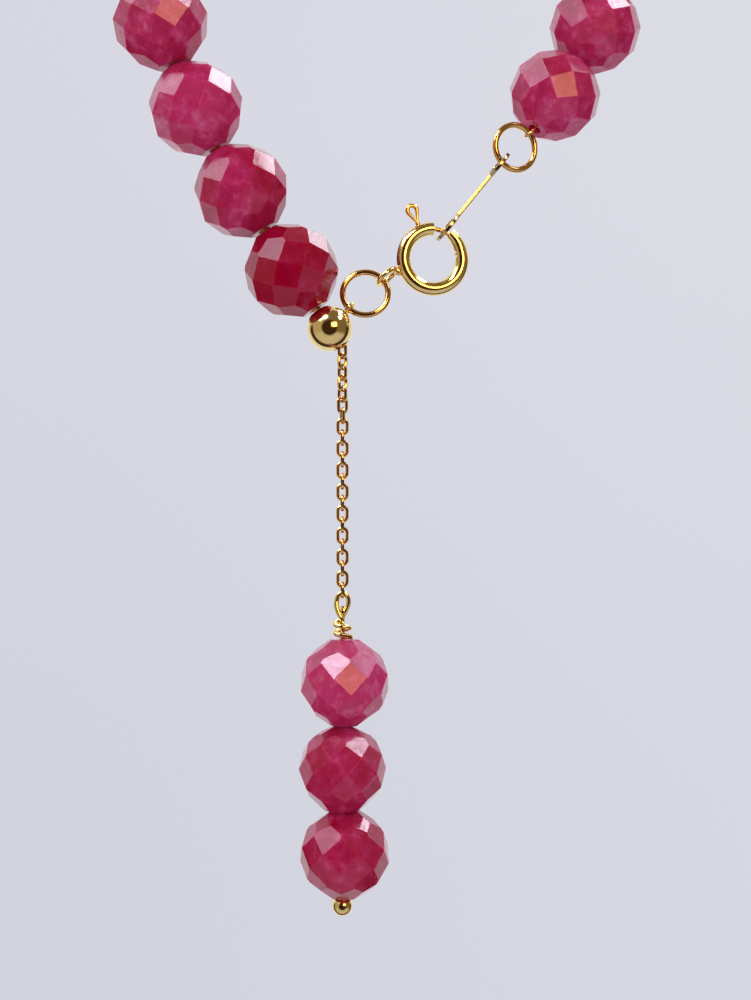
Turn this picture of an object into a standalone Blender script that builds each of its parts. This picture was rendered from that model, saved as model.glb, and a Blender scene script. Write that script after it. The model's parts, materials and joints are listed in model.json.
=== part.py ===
"""Adjustable bead bracelet with a drop, hanging from a peg: faceted pink stone and gold findings.

Millimetres are written with MM. The origin is where the top of the bead loop hangs, between two
beads; X runs across the loop, Y goes away from the viewer and Z is up.
"""

import math
import random

import bmesh
import bpy
import numpy as np
from mathutils import Matrix, Vector

MM = 0.001

# Stone beads
BEAD_COUNT = 18
BEAD_DIAMETER = 8.08 * MM
BEAD_SPREAD = 0.03 * MM
DROP_BEAD_DIAMETERS = (7.6 * MM, 7.4 * MM, 7.65 * MM)
DROP_BEAD_PITCH = 7.45 * MM
DROP_BEAD_PLAY = (0.2 * MM, 0.0, 0.2 * MM)
FACETS_AROUND = 8
FACET_LATITUDES = (-73.0, -53.0, -32.0, -10.75, 10.75, 32.0, 53.0, 73.0)
SHOULDER_LATITUDE = 53.0
FACET_WANDER = 1.3
FACET_INRADIUS = 0.962
SHOULDER_INRADIUS = 0.973
POLE_INRADIUS = 0.985
END_ROW_BEND = 9.0
FACET_SHORT_EDGE = 0.77 * MM
BEAD_BLANK = 1.2
CUT_TOLERANCE = 1e-8
WELD_DISTANCE = 1e-7
DRILL_RADIUS = 0.6 * MM
DRILL_REACH = 1.5
DRILL_SIDES = 8

# Turn of each bead's facets about its hole, from the side that faces the viewer, where it is seen
STRAND_SPINS = {1: -8.6, 2: -17.3, 3: -16.9, 4: 19.8, 17: 10.5, 18: 5.4}
DROP_SPINS = (-13.3, -16.4, -27.9)

# Loop of beads, from the slider round the top to the bar end
LOOP_POINTS = (
    (-8.04 * MM, -3.32 * MM, -61.5 * MM),
    (-14.5 * MM, -1.6 * MM, -51.1 * MM),
    (-21.4 * MM, 0.2 * MM, -36.4 * MM),
    (-23.4 * MM, 0.9 * MM, -20.4 * MM),
    (-17.8 * MM, 0.9 * MM, -4.6 * MM),
    (-4.4 * MM, 0.5 * MM, 3.9 * MM),
    (11.7 * MM, 0.0, 1.6 * MM),
    (21.8 * MM, -0.7 * MM, -11.3 * MM),
    (21.7 * MM, -1.6 * MM, -27.6 * MM),
    (13.9 * MM, -3.5 * MM, -41.6 * MM),
    (11.4 * MM, -4.5 * MM, -44.7 * MM),
)
CORE_RADIUS = 0.4 * MM
CORE_SIDES = 6
CORE_IN_SLIDER = 0.2 * MM
CORE_END_GAP = 0.3 * MM

# Slider ball with its rubber grip and soldered lug
SLIDER_CENTRE = Vector((-7.0, -3.6, -63.1)) * MM
SLIDER_RADIUS = 2.0 * MM
SLIDER_LEAN = 34.5
SLIDER_BORE = 0.76 * MM
SLIDER_FLAT = 1.82 * MM
GRIP_OUTER = 0.74 * MM
GRIP_INNER = 0.56 * MM
GRIP_LENGTH = 3.0 * MM
LUG_RADIUS = 0.52 * MM
LUG_WIRE = 0.16 * MM
LUG_CLOCK = 225.0

# The findings hang turned from the plane of the loop
FINDINGS_TURN = -15.0
RING_RADIUS = 1.98 * MM
RING_WIRE = 0.27 * MM
FIRST_RING_PLACE = Vector((3.1, 0.3, 3.08)) * MM
FIRST_RING_TILT = -14.0
SECOND_RING_PLACE = Vector((16.38, 3.0, 16.39)) * MM
SECOND_RING_TURN = 24.0
SECOND_RING_PLATE_CLOCK = 225.0
SECOND_RING_LINK_CLOCK = 45.0

# Spring ring clasp; its clock angles are degrees clockwise from twelve
CLASP_PLACE = Vector((9.0, 1.2, 6.22)) * MM
CLASP_TURN = 12.0
CLASP_RADIUS = 2.63 * MM
CLASP_TUBE = 0.61 * MM
CLASP_BORE = 0.42 * MM
CLASP_MOUTH = 34.0
CLASP_SLOT = (-102.0, -14.0)
CLASP_SLOT_WIDTH = 0.52 * MM
CLASP_BORE_SPAN = (-122.0, 1.0)
CLASP_SOCKET_SPAN = (33.0, 58.0)
BOLT_WIRE = 0.2 * MM
BOLT_SPAN = (-62.0, 53.0)
BOLT_PLAY = 0.06 * MM
TAB_CLOCK = -24.0
TAB_WIRE = 0.17 * MM
TAB_INNER = 3.35 * MM
TAB_OUTER = 4.95 * MM
TAB_HALF_WIDTH = 0.46 * MM
CLASP_LOOP_RADIUS = 0.975 * MM
CLASP_LOOP_WIRE = 0.225 * MM
CLASP_LOOP_CLOCK = 50.0

# Connector plate between the clasp's bolt and the second ring
PLATE_THICKNESS = 0.32 * MM
PLATE_EYE_OUTER = 1.5 * MM
PLATE_EYE_HOLE = 0.9 * MM
PLATE_BAR_HALF = 0.75 * MM
PLATE_HANG = 0.48 * MM
PLATE_CLOCK = 23.0

# End link from the last bead to the second ring
END_LINK_HALF_WIDTH = 0.43 * MM
END_LINK_WIRE = 0.12 * MM
END_LINK_DEPTH = 0.35 * MM

# Tail chain
LINK_COUNT = 24
LINK_LENGTH = 1.565 * MM
LINK_WIDTH = 1.1 * MM
LINK_WIRE = 0.15 * MM
LINK_GAP = 0.02 * MM
LINK_EXIT = 1.955 * MM
LINK_TWIST = 45.0
LINK_TWISTED = 6
LINK_UNTWIST = 3

# Wrapped head pin that carries the drop beads
PIN_WIRE = 0.225 * MM
PIN_WRAP_TOP = 2.62 * MM
PIN_WRAP_SPAN = (150, 650)
PIN_WRAP_STEP = 20
PIN_WRAP_PITCH = 0.745 * MM
PIN_WRAP_RADIUS = 0.68 * MM
PIN_WRAP_CLEAR = 0.03 * MM
PIN_CUT_END = 0.95 * MM
PIN_BALL_RADIUS = 0.9 * MM
PIN_BALL_SEAT = 0.16 * MM

# The eye's bends from the top of its wire, in millimetres to the right, away and up
PIN_EYE = (
    (0.0, -0.02, -2.75),
    (-0.06, -0.2, -2.25),
    (-0.36, -0.18, -1.65),
    (-0.52, -0.08, -1.05),
    (-0.44, 0.0, -0.42),
    (-0.22, 0.0, -0.08),
    (0.1, 0.0, 0.0),
    (0.4, 0.0, -0.25),
    (0.53, 0.07, -0.7),
    (0.45, 0.14, -1.2),
    (0.2, 0.27, -1.75),
    (-0.1, 0.35, -2.2),
)

SOLDER_GAP = 0.03 * MM
SHARP_ANGLE = 35.0
RANDOM_SEED = 11

# The findings' own frame, at the slider's centre: X to the viewer's right, Y away from the viewer
FINDINGS = Matrix.Translation(SLIDER_CENTRE) @ Matrix.Rotation(math.radians(FINDINGS_TURN), 4, "Z")
RIGHT = FINDINGS.to_3x3() @ Vector((1, 0, 0))
BACK = FINDINGS.to_3x3() @ Vector((0, 1, 0))


def clear_scene():
    for item in list(bpy.data.objects):
        bpy.data.objects.remove(item, do_unlink=True)


def material(name, colour, roughness, metallic=0.0, transmission=0.0):
    finish = bpy.data.materials.new(name)
    finish.use_nodes = True
    shader = finish.node_tree.nodes["Principled BSDF"]
    shader.inputs["Base Color"].default_value = (*colour, 1.0)
    shader.inputs["Roughness"].default_value = roughness
    shader.inputs["Metallic"].default_value = metallic
    shader.inputs["Transmission Weight"].default_value = transmission
    return finish


def add(name, mesh, finish, smooth=False):
    """Put a mesh in the scene as a named sub-part."""
    mesh.name = name
    mesh.materials.clear()
    mesh.materials.append(finish)
    if smooth:
        mesh.shade_smooth()
        mesh.set_sharp_from_angle(angle=math.radians(SHARP_ANGLE))
    item = bpy.data.objects.new(name, mesh)
    bpy.context.scene.collection.objects.link(item)
    return item


def to_mesh(shape):
    bmesh.ops.recalc_face_normals(shape, faces=shape.faces)
    mesh = bpy.data.meshes.new("shape")
    shape.to_mesh(mesh)
    shape.free()
    return mesh


def combine(mesh, others, operation):
    """Boolean one mesh with others and return the result as a plain mesh."""
    base = bpy.data.objects.new("base", mesh)
    bpy.context.scene.collection.objects.link(base)
    helpers = []
    for other in others:
        helper = bpy.data.objects.new("helper", other)
        bpy.context.scene.collection.objects.link(helper)
        helper.hide_render = True
        helper.display_type = "WIRE"
        cut = base.modifiers.new("cut", "BOOLEAN")
        cut.operation = operation
        cut.object = helper
        helpers.append(helper)
    evaluated = base.evaluated_get(bpy.context.evaluated_depsgraph_get())
    result = bpy.data.meshes.new_from_object(evaluated)
    for item in [base, *helpers]:
        bpy.data.objects.remove(item, do_unlink=True)
    return result


def moved(mesh, matrix):
    mesh.transform(matrix)
    return mesh


def sweep(points, radius, sides, closed=False, normal=None):
    """A wire of round section along points, closed on itself or capped."""
    points = [Vector(p) for p in points]
    count = len(points)
    shape = bmesh.new()
    rings = []
    across = None
    for i, point in enumerate(points):
        before = points[i - 1] if closed or i > 0 else point
        after = points[(i + 1) % count] if closed or i < count - 1 else point
        along = (after - before).normalized()
        if across is None:
            across = Vector(normal) if normal else along.orthogonal()
        across = (across - along * across.dot(along)).normalized()
        other = along.cross(across)
        ring = []
        for k in range(sides):
            angle = math.tau * (k + 0.5) / sides
            offset = across * math.cos(angle) + other * math.sin(angle)
            ring.append(shape.verts.new(point + offset * radius))
        rings.append(ring)
    last = count if closed else count - 1
    for i in range(last):
        here = rings[i]
        there = rings[(i + 1) % count]
        for k in range(sides):
            n = (k + 1) % sides
            shape.faces.new((here[k], here[n], there[n], there[k]))
    if not closed:
        shape.faces.new(rings[0])
        shape.faces.new(rings[-1])
    return to_mesh(shape)


def arc(radius, start, end, count, centre=(0.0, 0.0)):
    """Points of an arc in the XZ plane, by clock angle in degrees from +Z towards +X."""
    points = []
    for i in range(count):
        angle = math.radians(start + (end - start) * i / (count - 1))
        x = centre[0] + radius * math.sin(angle)
        z = centre[1] + radius * math.cos(angle)
        points.append(Vector((x, 0.0, z)))
    return points


def wire_ring(radius, wire, count=20, sides=6):
    """A closed ring of round wire in the XZ plane."""
    return sweep(arc(radius, 0.0, 360.0, count + 1)[:-1], wire, sides, closed=True, normal=(0, 1, 0))


def link_outline(length, half_width, count=4):
    """Centre line of an oblong link in the XZ plane, round at both ends."""
    reach = length / 2 - half_width
    top = arc(half_width, -90.0, 90.0, count, (0.0, reach))
    bottom = arc(half_width, 90.0, 270.0, count, (0.0, -reach))
    return top + bottom


def frame_at(origin, x_axis, z_axis):
    """A turned frame: local Z along z_axis and local X as near x_axis as it can be."""
    z_axis = Vector(z_axis).normalized()
    x_axis = Vector(x_axis)
    x_axis = (x_axis - z_axis * x_axis.dot(z_axis)).normalized()
    y_axis = z_axis.cross(x_axis)
    turn = Matrix((x_axis, y_axis, z_axis)).transposed().to_4x4()
    return Matrix.Translation(origin) @ turn


def loop_curve(controls, samples=1500):
    """A natural cubic spline through the controls, sampled finely."""
    controls = np.array(controls)
    steps = np.linalg.norm(np.diff(controls, axis=0), axis=1)
    knots = np.concatenate(([0.0], np.cumsum(steps)))
    count = len(controls)
    system = np.eye(count)
    slopes = np.zeros_like(controls)
    for i in range(1, count - 1):
        system[i, i - 1] = steps[i - 1]
        system[i, i] = 2 * (steps[i - 1] + steps[i])
        system[i, i + 1] = steps[i]
        rise = (controls[i + 1] - controls[i]) / steps[i] - (controls[i] - controls[i - 1]) / steps[i - 1]
        slopes[i] = 6 * rise
    bends = np.linalg.solve(system, slopes)
    curve = []
    for t in np.linspace(0.0, knots[-1], samples):
        i = min(int(np.searchsorted(knots, t, side="right")) - 1, count - 2)
        a = (knots[i + 1] - t) / steps[i]
        b = (t - knots[i]) / steps[i]
        bow = (a ** 3 - a) * bends[i] + (b ** 3 - b) * bends[i + 1]
        curve.append(a * controls[i] + b * controls[i + 1] + bow * steps[i] ** 2 / 6)
    return np.array(curve)


def bead_joints(curve, count):
    """Where the axes of neighbouring beads meet: touching beads need more room in a bend."""
    steps = np.diff(curve, axis=0)
    lengths = np.linalg.norm(steps, axis=1)
    headings = steps / lengths[:, None]
    turns = np.arccos(np.clip(np.sum(headings[1:] * headings[:-1], axis=1), -1.0, 1.0))
    bends = np.append(turns, turns[-1]) / lengths * BEAD_DIAMETER
    room = np.concatenate(([0.0], np.cumsum(lengths * np.cos(bends / 2))))
    joints = []
    for target in np.linspace(0.0, room[-1], count + 1):
        joints.append(Vector([float(np.interp(target, room, curve[:, k])) for k in range(3)]))
    return joints


def facet_cuts(chance, crowned):
    """The facets of a hand-cut bead whose hole runs along Z, each a unit normal and its inradius.

    Rows are staggered. The outermost row is cut only at a crowned end (1 or -1), where the bead
    leans against its neighbour; at any other end it sits square on it with a flat.
    """
    cuts = [(Vector((0, 0, 1)), POLE_INRADIUS), (Vector((0, 0, -1)), POLE_INRADIUS)]
    for row, latitude in enumerate(FACET_LATITUDES):
        if abs(latitude) > SHOULDER_LATITUDE and math.copysign(1, latitude) not in crowned:
            continue
        inradius = SHOULDER_INRADIUS if abs(latitude) == SHOULDER_LATITUDE else FACET_INRADIUS
        for k in range(FACETS_AROUND):
            turn = 360.0 * (k + 0.5 * ((row + 1) % 2)) / FACETS_AROUND
            turn = math.radians(turn + chance.uniform(-1, 1) * FACET_WANDER)
            rise = math.radians(latitude + chance.uniform(-1, 1) * FACET_WANDER)
            flat = math.cos(rise)
            normal = Vector((flat * math.cos(turn), flat * math.sin(turn), math.sin(rise)))
            cuts.append((normal, inradius))
    return cuts


def faceted_bead(diameter, chance, crowned=()):
    """A round bead cut all over with flat facets and drilled along Z."""
    radius = diameter / 2
    shape = bmesh.new()
    bmesh.ops.create_cube(shape, size=diameter * BEAD_BLANK)
    for normal, inradius in facet_cuts(chance, crowned):
        found = bmesh.ops.bisect_plane(
            shape,
            geom=shape.verts[:] + shape.edges[:] + shape.faces[:],
            dist=CUT_TOLERANCE,
            plane_co=normal * radius * inradius,
            plane_no=normal,
            clear_outer=True,
        )
        rim = [e for e in found["geom_cut"] if isinstance(e, bmesh.types.BMEdge)]
        bmesh.ops.contextual_create(shape, geom=rim)
    bmesh.ops.remove_doubles(shape, verts=shape.verts, dist=WELD_DISTANCE)
    short = [e for e in shape.edges if e.calc_length() < FACET_SHORT_EDGE]
    bmesh.ops.collapse(shape, edges=short)
    bmesh.ops.triangulate(shape, faces=shape.faces)
    drill = cylinder(DRILL_RADIUS, diameter * DRILL_REACH, DRILL_SIDES)
    return combine(to_mesh(shape), [drill], "DIFFERENCE")


def cylinder(radius, length, sides):
    shape = bmesh.new()
    bmesh.ops.create_cone(shape, cap_ends=True, segments=sides, radius1=radius, radius2=radius, depth=length)
    return to_mesh(shape)


def ball(radius, around=20, rows=10):
    shape = bmesh.new()
    bmesh.ops.create_uvsphere(shape, u_segments=around, v_segments=rows, radius=radius)
    return to_mesh(shape)


def slab(outline, thickness):
    """A flat piece with its outline in the XZ plane, half its thickness to each side."""
    shape = bmesh.new()
    face = shape.faces.new([shape.verts.new(p - Vector((0, thickness / 2, 0))) for p in outline])
    lifted = bmesh.ops.extrude_face_region(shape, geom=[face])["geom"]
    raised = [v for v in lifted if isinstance(v, bmesh.types.BMVert)]
    bmesh.ops.translate(shape, verts=raised, vec=(0, thickness, 0))
    return to_mesh(shape)


def slider_frame():
    """At the slider's centre, with local Z along its bore towards the first bead."""
    lean = math.radians(SLIDER_LEAN)
    bore = Vector((0, 0, math.cos(lean))) - RIGHT * math.sin(lean)
    return frame_at(SLIDER_CENTRE, RIGHT, bore)


def ring_frame(place, turn=0.0, tilt=0.0):
    spin = Matrix.Rotation(math.radians(turn), 4, "Z") @ Matrix.Rotation(math.radians(tilt), 4, "X")
    return FINDINGS @ Matrix.Translation(place) @ spin


def on_ring(frame, radius, clock):
    """A point on a ring's wire and the wire's direction there."""
    angle = math.radians(clock)
    point = frame @ Vector((radius * math.sin(angle), 0.0, radius * math.cos(angle)))
    along = frame.to_3x3() @ Vector((math.cos(angle), 0.0, -math.sin(angle)))
    return point, along


def threaded(point, along, towards, shift=0.0):
    """A frame for a loop that a wire passes through: its hole faces along, its Z goes towards."""
    along = along.normalized()
    up = (towards - along * towards.dot(along)).normalized()
    return frame_at(point + up * shift, up.cross(along) * -1, up)


def build_strand(stone, joints):
    chance = random.Random(RANDOM_SEED)
    axes = [above - below for below, above in zip(joints, joints[1:])]
    bends = [0.0, *[math.degrees(axis.angle(after)) for axis, after in zip(axes, axes[1:])], 0.0]
    for i in range(BEAD_COUNT):
        below, above = joints[i], joints[i + 1]
        crowned = [end for end, bend in ((-1, bends[i]), (1, bends[i + 1])) if bend > END_ROW_BEND]
        diameter = BEAD_DIAMETER + chance.uniform(-1, 1) * BEAD_SPREAD
        turn = STRAND_SPINS.get(i + 1, chance.uniform(0.0, 360.0))
        spin = Matrix.Rotation(math.radians(turn), 4, "Z")
        bead = add(f"strand_bead_{i + 1:02d}", faceted_bead(diameter, chance, crowned), stone)
        bead.matrix_world = frame_at((below + above) / 2, -BACK, above - below) @ spin


def build_core(gold, joints, slider):
    """The run of chain inside the beads, from inside the slider to the end link."""
    last = joints[-2] - joints[-1]
    stop = joints[-1] + last.normalized() * (END_LINK_DEPTH + END_LINK_HALF_WIDTH + CORE_END_GAP)
    start = slider @ Vector((0, 0, -CORE_IN_SLIDER))
    route = [start, *joints[:-1], stop]
    add("strand_core", sweep(route, CORE_RADIUS, CORE_SIDES), gold, smooth=True)


def build_slider(gold, rubber, slider, first_ring):
    body = ball(SLIDER_RADIUS)
    trim = cylinder(2 * SLIDER_RADIUS, 2 * SLIDER_FLAT, 20)
    body = combine(body, [trim], "INTERSECT")
    body = combine(body, [cylinder(SLIDER_BORE, 4 * SLIDER_RADIUS, 12)], "DIFFERENCE")
    moved(body, slider)
    point, along = on_ring(first_ring, RING_RADIUS, LUG_CLOCK)
    lug = moved(wire_ring(LUG_RADIUS, LUG_WIRE, 12, 6), threaded(point, along, point - SLIDER_CENTRE))
    add("slider_ball", combine(body, [lug], "UNION"), gold, smooth=True)
    grip = cylinder(GRIP_OUTER, GRIP_LENGTH, 12)
    grip = combine(grip, [cylinder(GRIP_INNER, 2 * GRIP_LENGTH, 12)], "DIFFERENCE")
    add("slider_grip", moved(grip, slider), rubber, smooth=True)


def build_clasp_body(gold, clasp):
    tube_path = arc(CLASP_RADIUS, CLASP_MOUTH - 360.0, 0.0, 25)
    tube = sweep(tube_path, CLASP_TUBE, 10, normal=(0, 1, 0))
    bore = sweep(arc(CLASP_RADIUS, *CLASP_BORE_SPAN, 10), CLASP_BORE, 8, normal=(0, 1, 0))
    socket_path = arc(CLASP_RADIUS, *CLASP_SOCKET_SPAN, 3)
    socket = sweep(socket_path, BOLT_WIRE + BOLT_PLAY, 6, normal=(0, 1, 0))
    outline = arc(CLASP_RADIUS, *CLASP_SLOT, 8)
    outline += arc(CLASP_RADIUS + 2 * CLASP_TUBE, *reversed(CLASP_SLOT), 8)
    body = combine(tube, [bore, socket, slab(outline, CLASP_SLOT_WIDTH)], "DIFFERENCE")
    add("clasp_body", moved(body, clasp), gold, smooth=True)


def build_clasp_latch(gold, clasp):
    """The sprung bolt and its thumb tab, which turn together about the clasp's centre."""
    bolt = sweep(arc(CLASP_RADIUS, *BOLT_SPAN, 12), BOLT_WIRE, 6, normal=(0, 1, 0))
    outward = Matrix.Rotation(math.radians(TAB_CLOCK), 4, "Y")
    stem = sweep([(0, 0, CLASP_RADIUS), (0, 0, TAB_INNER + TAB_WIRE / 2)], TAB_WIRE, 6)
    middle = TAB_OUTER - TAB_WIRE - TAB_HALF_WIDTH
    drop = [Vector((0, 0, TAB_INNER))] + arc(TAB_HALF_WIDTH, -100.0, 100.0, 8, (0.0, middle))
    eye = sweep(drop, TAB_WIRE, 6, closed=True, normal=(0, 1, 0))
    latch = combine(bolt, [moved(stem, outward), moved(eye, outward)], "UNION")
    item = add("clasp_latch", latch, gold, smooth=True)
    item.matrix_world = clasp


def build_clasp_loop(gold, first_ring, clasp):
    point, along = on_ring(first_ring, RING_RADIUS, CLASP_LOOP_CLOCK)
    reach = CLASP_LOOP_RADIUS - CLASP_LOOP_WIRE - RING_WIRE - SOLDER_GAP
    frame = threaded(point, along, clasp.translation - first_ring.translation, reach)
    loop = moved(wire_ring(CLASP_LOOP_RADIUS, CLASP_LOOP_WIRE, 14, 6), frame)
    add("clasp_loop", loop, gold, smooth=True)


def build_plate(gold, start, end, eye_spacing):
    """A flat bar with an eye at each end, seen on edge in its hanging place."""
    half = eye_spacing / 2
    flare = math.degrees(math.asin(PLATE_BAR_HALF / PLATE_EYE_OUTER))
    top = arc(PLATE_EYE_OUTER, flare - 180.0, 180.0 - flare, 10, (0.0, half))
    bottom = arc(PLATE_EYE_OUTER, flare, 360.0 - flare, 10, (0.0, -half))
    holes = []
    for centre in (-half, half):
        across = Matrix.Translation((0, 0, centre)) @ Matrix.Rotation(math.pi / 2, 4, "X")
        holes.append(moved(cylinder(PLATE_EYE_HOLE, 4 * PLATE_THICKNESS, 12), across))
    plate = combine(slab(top + bottom, PLATE_THICKNESS), holes, "DIFFERENCE")
    item = add("connector_plate", plate, gold, smooth=True)
    item.matrix_world = frame_at((start + end) / 2, BACK, end - start)


def build_end_link(gold, second_ring, joints):
    point, along = on_ring(second_ring, RING_RADIUS, SECOND_RING_LINK_CLOCK)
    pole = joints[-1] + (joints[-2] - joints[-1]).normalized() * END_LINK_DEPTH
    reach = (pole - point).length
    frame = threaded(point, along, pole - point, reach / 2)
    outline = link_outline(reach + 2 * END_LINK_HALF_WIDTH, END_LINK_HALF_WIDTH, 5)
    link = sweep(outline, END_LINK_WIRE, 6, closed=True, normal=(0, 1, 0))
    add("strand_end_link", moved(link, frame), gold, smooth=True)


def build_chain(gold, slider):
    """Links of the tail; the first is held in the slider and the rest hang straight down."""
    outline = link_outline(LINK_LENGTH - 2 * LINK_WIRE, LINK_WIDTH / 2 - LINK_WIRE)
    mesh = sweep(outline, LINK_WIRE, 5, closed=True, normal=(0, 1, 0))
    half = LINK_LENGTH / 2 - LINK_WIRE
    hook = 2 * LINK_WIRE + LINK_GAP
    first = frame_at(slider @ Vector((0, 0, half - LINK_EXIT)), BACK, slider.col[2].to_3d())
    tip = slider @ Vector((0, 0, -LINK_EXIT))
    for i in range(LINK_COUNT):
        link = add(f"chain_link_{i + 1:02d}", mesh.copy(), gold, smooth=True)
        if i == 0:
            link.matrix_world = first
            continue
        untwist = min(max((i + 1 - LINK_TWISTED) / LINK_UNTWIST, 0.0), 1.0)
        twist = LINK_TWIST * (1 - untwist) + 90.0 * (i % 2)
        spin = Matrix.Rotation(math.radians(twist), 4, "Z")
        centre = tip + Vector((0, 0, hook - half))
        link.matrix_world = frame_at(centre, RIGHT, (0, 0, 1)) @ spin
        tip = centre - Vector((0, 0, half))
    return tip


def build_head_pin(gold, stone, tip):
    """Wire with a ball end, three beads, and a wrapped eye on the last link."""
    top = tip.z + LINK_WIRE + PIN_WIRE + LINK_GAP
    wrap = []
    for angle in range(*PIN_WRAP_SPAN, PIN_WRAP_STEP):
        height = -PIN_WRAP_TOP - PIN_WRAP_PITCH * (angle - PIN_WRAP_SPAN[0]) / 360
        x = PIN_WRAP_RADIUS * math.cos(math.radians(angle))
        y = PIN_WRAP_RADIUS * math.sin(math.radians(angle))
        wrap.append(Vector((x, y, height)))
    heading = (wrap[-1] - wrap[-2]).normalized()
    wrap.append(wrap[-1] + heading * PIN_CUT_END)
    bead_top = wrap[-1].z - PIN_WIRE - PIN_WRAP_CLEAR
    centres = []
    height = bead_top - DROP_BEAD_DIAMETERS[0] / 2 * POLE_INRADIUS
    for _ in DROP_BEAD_DIAMETERS:
        centres.append(height)
        height -= DROP_BEAD_PITCH
    seat = centres[-1] - DROP_BEAD_DIAMETERS[-1] / 2 * POLE_INRADIUS
    ball_centre = seat - PIN_BALL_RADIUS + PIN_BALL_SEAT
    eye = [Vector(bend) * MM for bend in PIN_EYE]
    wire = sweep([(0, 0, ball_centre), *eye, *wrap], PIN_WIRE, 6)
    end = moved(ball(PIN_BALL_RADIUS, 12, 8), Matrix.Translation((0, 0, ball_centre)))
    place = frame_at((tip.x, tip.y, top), RIGHT, (0, 0, 1))
    pin = add("head_pin", combine(wire, [end], "UNION"), gold, smooth=True)
    pin.matrix_world = place
    chance = random.Random(RANDOM_SEED + 1)
    for i, diameter in enumerate(DROP_BEAD_DIAMETERS):
        bead = add(f"drop_bead_{i + 1}", faceted_bead(diameter, chance), stone)
        spin = Matrix.Rotation(math.radians(DROP_SPINS[i] - 90.0), 4, "Z")
        bead.matrix_world = place @ Matrix.Translation((DROP_BEAD_PLAY[i], 0, centres[i])) @ spin


def build():
    clear_scene()
    stone = material("pink_stone", (0.55, 0.06, 0.16), 0.12, transmission=0.3)
    gold = material("polished_gold", (0.83, 0.62, 0.32), 0.14, metallic=1.0)
    rubber = material("clear_rubber", (0.55, 0.5, 0.42), 0.5)
    joints = bead_joints(loop_curve(LOOP_POINTS), BEAD_COUNT)
    slider = slider_frame()
    first_ring = ring_frame(FIRST_RING_PLACE, tilt=FIRST_RING_TILT)
    second_ring = ring_frame(SECOND_RING_PLACE, turn=SECOND_RING_TURN)
    clasp = ring_frame(CLASP_PLACE, turn=CLASP_TURN)
    build_strand(stone, joints)
    build_core(gold, joints, slider)
    build_slider(gold, rubber, slider, first_ring)
    add("jump_ring_1", moved(wire_ring(RING_RADIUS, RING_WIRE), first_ring), gold, smooth=True)
    add("jump_ring_2", moved(wire_ring(RING_RADIUS, RING_WIRE), second_ring), gold, smooth=True)
    build_clasp_loop(gold, first_ring, clasp)
    build_clasp_body(gold, clasp)
    build_clasp_latch(gold, clasp)
    on_bolt, _ = on_ring(clasp, CLASP_RADIUS, PLATE_CLOCK)
    on_second, _ = on_ring(second_ring, RING_RADIUS, 225.0)
    along = (on_second - on_bolt).normalized()
    lower_eye = on_bolt + along * PLATE_HANG
    upper_eye = on_second - along * PLATE_HANG
    build_plate(gold, lower_eye, upper_eye, (upper_eye - lower_eye).length)
    build_end_link(gold, second_ring, joints)
    tip = build_chain(gold, slider)
    build_head_pin(gold, stone, tip)


build()
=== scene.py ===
import json
import math
import random

import bmesh
import bpy
import numpy as np
from mathutils import Matrix, Vector


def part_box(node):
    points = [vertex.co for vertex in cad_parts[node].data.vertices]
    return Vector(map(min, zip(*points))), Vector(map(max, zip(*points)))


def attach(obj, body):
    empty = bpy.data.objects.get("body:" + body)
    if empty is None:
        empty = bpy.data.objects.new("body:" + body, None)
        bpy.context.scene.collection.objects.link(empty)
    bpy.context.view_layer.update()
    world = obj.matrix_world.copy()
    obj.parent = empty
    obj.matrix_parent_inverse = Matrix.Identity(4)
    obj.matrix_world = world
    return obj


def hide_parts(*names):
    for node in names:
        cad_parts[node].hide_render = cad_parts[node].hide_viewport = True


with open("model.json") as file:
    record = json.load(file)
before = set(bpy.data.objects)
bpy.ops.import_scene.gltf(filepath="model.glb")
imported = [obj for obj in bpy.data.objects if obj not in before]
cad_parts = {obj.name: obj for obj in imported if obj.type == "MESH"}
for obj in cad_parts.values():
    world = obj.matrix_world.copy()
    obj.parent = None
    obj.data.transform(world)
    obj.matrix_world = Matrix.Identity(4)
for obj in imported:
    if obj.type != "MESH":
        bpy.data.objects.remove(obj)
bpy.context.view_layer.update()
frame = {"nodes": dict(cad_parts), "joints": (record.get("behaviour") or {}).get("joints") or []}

# The view. The bracelet hangs in free air, and a level camera looks at its findings from close by,
# a little to one side of the loop's own face.
MM = 0.001
VIEW_TURN = math.radians(-15)
VIEW_AIM = Vector((-3.156, -4.630, -78.0)) * MM
VIEW_DISTANCE = 140 * MM
LENS = 58.0

right = Vector((math.cos(VIEW_TURN), math.sin(VIEW_TURN), 0))
back = Vector((-math.sin(VIEW_TURN), math.cos(VIEW_TURN), 0))
up = Vector((0, 0, 1))


def put(name, data):
    item = bpy.data.objects.new(name, data)
    bpy.context.scene.collection.objects.link(item)
    return item


camera = put("camera", bpy.data.cameras.new("camera"))
camera.data.lens = LENS
camera.data.clip_start = 1 * MM
camera.location = VIEW_AIM - back * VIEW_DISTANCE
camera.rotation_euler = (math.pi / 2, 0, VIEW_TURN)
bpy.context.scene.camera = camera
bpy.context.scene.view_settings.view_transform = "Standard"


# The backdrop. A plain pale floor far below the bracelet sweeps up into a plain pale wall all round
# it, cool grey. It glows by itself with painted light, a shade lighter at the upper right, is only looked at, and casts
# no shadow.
FLOOR_DROP = 450 * MM
WALL_RADIUS = 850 * MM
WALL_TOP = 900 * MM
SWEEP_RADIUS = 350 * MM
SWEEP_STEPS = 12


def tone(red, green, blue):
    """A colour as it is seen on a screen, 0 to 255, as the light that it stands for."""
    light = []
    for part in (red, green, blue):
        share = part / 255
        light.append(share / 12.92 if share <= 0.04045 else ((share + 0.055) / 1.055) ** 2.4)
    return (*light, 1.0)


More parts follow.
